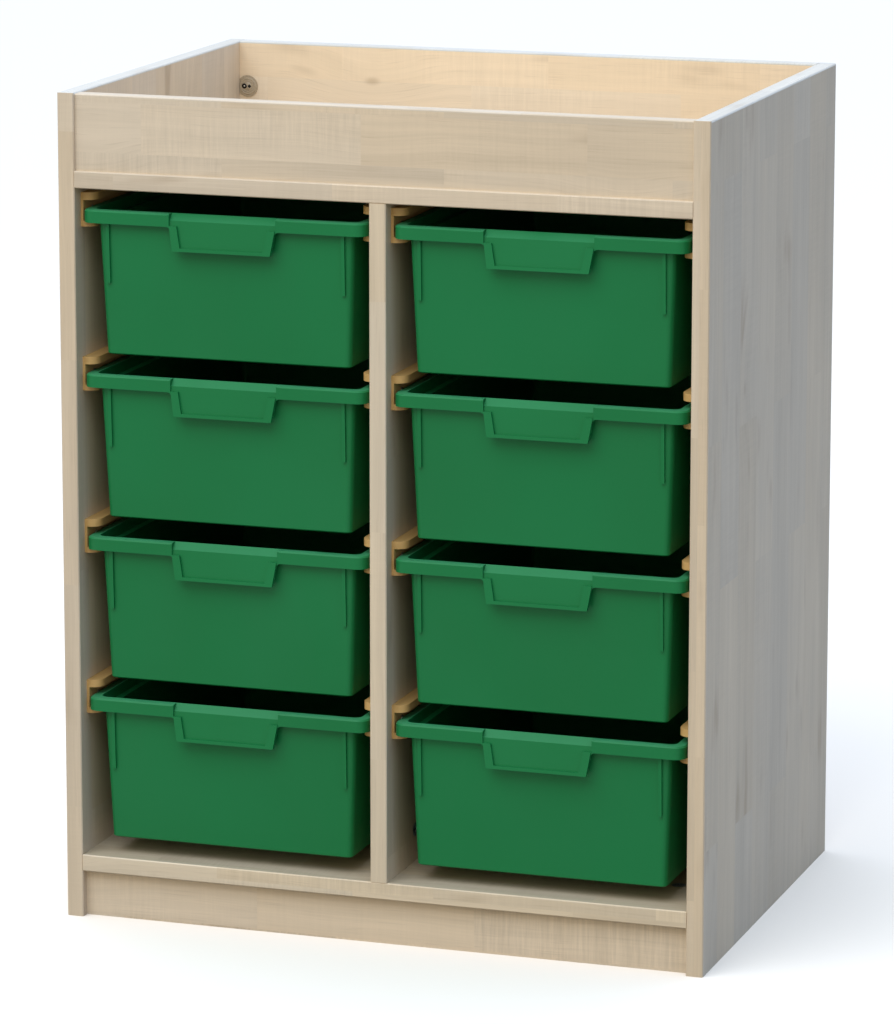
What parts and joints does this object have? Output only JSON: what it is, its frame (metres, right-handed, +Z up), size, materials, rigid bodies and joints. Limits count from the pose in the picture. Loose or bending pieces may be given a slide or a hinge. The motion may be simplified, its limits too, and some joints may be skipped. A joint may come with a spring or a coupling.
{
  "type": "classroom tray storage unit",
  "caption": "Free-standing panel cabinet with an open top well above side-by-side bays of deep plastic trays with label handles, which slide on channel runners over a set-back plinth.",
  "frame": {"origin": "on the floor, under the middle of the unit's overall box", "axes": "+X to the right seen from the front, +Y to the back, +Z up; the trays face -Y"},
  "size_m": [0.7, 0.5, 0.88],
  "materials": {
    "board": "maple-effect melamine, satin",
    "edging": "maple-effect edging, satin",
    "cam": "dull zinc",
    "connector": "satin",
    "runner": "satin, tan",
    "tray": "satin, green"
  },
  "bodies": {
    "carcass": {"left_side_panel": "board", "right_side_panel": "board", "centre_divider": "board", "base_panel": "board", "well_floor": "board", "front_rail": "board", "back_panel": "board", "plinth": "board", "left_side_front_lipping": "edging", "right_side_front_lipping": "edging", "left_side_top_lipping": "edging", "right_side_top_lipping": "edging", "centre_divider_lipping": "edging", "base_panel_lipping": "edging", "well_floor_lipping": "edging", "front_rail_lipping": "edging", "back_panel_lipping": "edging", "cam_locks": "cam", "back_connectors": "connector", "left_bay_row_1_left_runner": "runner", "left_bay_row_1_right_runner": "runner", "left_bay_row_2_left_runner": "runner", "left_bay_row_2_right_runner": "runner", "left_bay_row_3_left_runner": "runner", "left_bay_row_3_right_runner": "runner", "left_bay_row_4_left_runner": "runner", "left_bay_row_4_right_runner": "runner", "right_bay_row_1_left_runner": "runner", "right_bay_row_1_right_runner": "runner", "right_bay_row_2_left_runner": "runner", "right_bay_row_2_right_runner": "runner", "right_bay_row_3_left_runner": "runner", "right_bay_row_3_right_runner": "runner", "right_bay_row_4_left_runner": "runner", "right_bay_row_4_right_runner": "runner"},
    "left_bay_row_1_tray": {"left_bay_row_1_tray": "tray"},
    "left_bay_row_2_tray": {"left_bay_row_2_tray": "tray"},
    "left_bay_row_3_tray": {"left_bay_row_3_tray": "tray"},
    "left_bay_row_4_tray": {"left_bay_row_4_tray": "tray"},
    "right_bay_row_1_tray": {"right_bay_row_1_tray": "tray"},
    "right_bay_row_2_tray": {"right_bay_row_2_tray": "tray"},
    "right_bay_row_3_tray": {"right_bay_row_3_tray": "tray"},
    "right_bay_row_4_tray": {"right_bay_row_4_tray": "tray"}
  },
  "joints": [
    {"name": "left_bay_row_1_tray_slide", "type": "slide", "parent": "carcass", "child": "left_bay_row_1_tray", "axis": [0, -1, 0], "range_m": [0, 0.445]},
    {"name": "left_bay_row_2_tray_slide", "type": "slide", "parent": "carcass", "child": "left_bay_row_2_tray", "axis": [0, -1, 0], "range_m": [0, 0.445]},
    {"name": "left_bay_row_3_tray_slide", "type": "slide", "parent": "carcass", "child": "left_bay_row_3_tray", "axis": [0, -1, 0], "range_m": [0, 0.445]},
    {"name": "left_bay_row_4_tray_slide", "type": "slide", "parent": "carcass", "child": "left_bay_row_4_tray", "axis": [0, -1, 0], "range_m": [0, 0.445]},
    {"name": "right_bay_row_1_tray_slide", "type": "slide", "parent": "carcass", "child": "right_bay_row_1_tray", "axis": [0, -1, 0], "range_m": [0, 0.445]},
    {"name": "right_bay_row_2_tray_slide", "type": "slide", "parent": "carcass", "child": "right_bay_row_2_tray", "axis": [0, -1, 0], "range_m": [0, 0.445]},
    {"name": "right_bay_row_3_tray_slide", "type": "slide", "parent": "carcass", "child": "right_bay_row_3_tray", "axis": [0, -1, 0], "range_m": [0, 0.445]},
    {"name": "right_bay_row_4_tray_slide", "type": "slide", "parent": "carcass", "child": "right_bay_row_4_tray", "axis": [0, -1, 0], "range_m": [0, 0.445]}
  ]
}
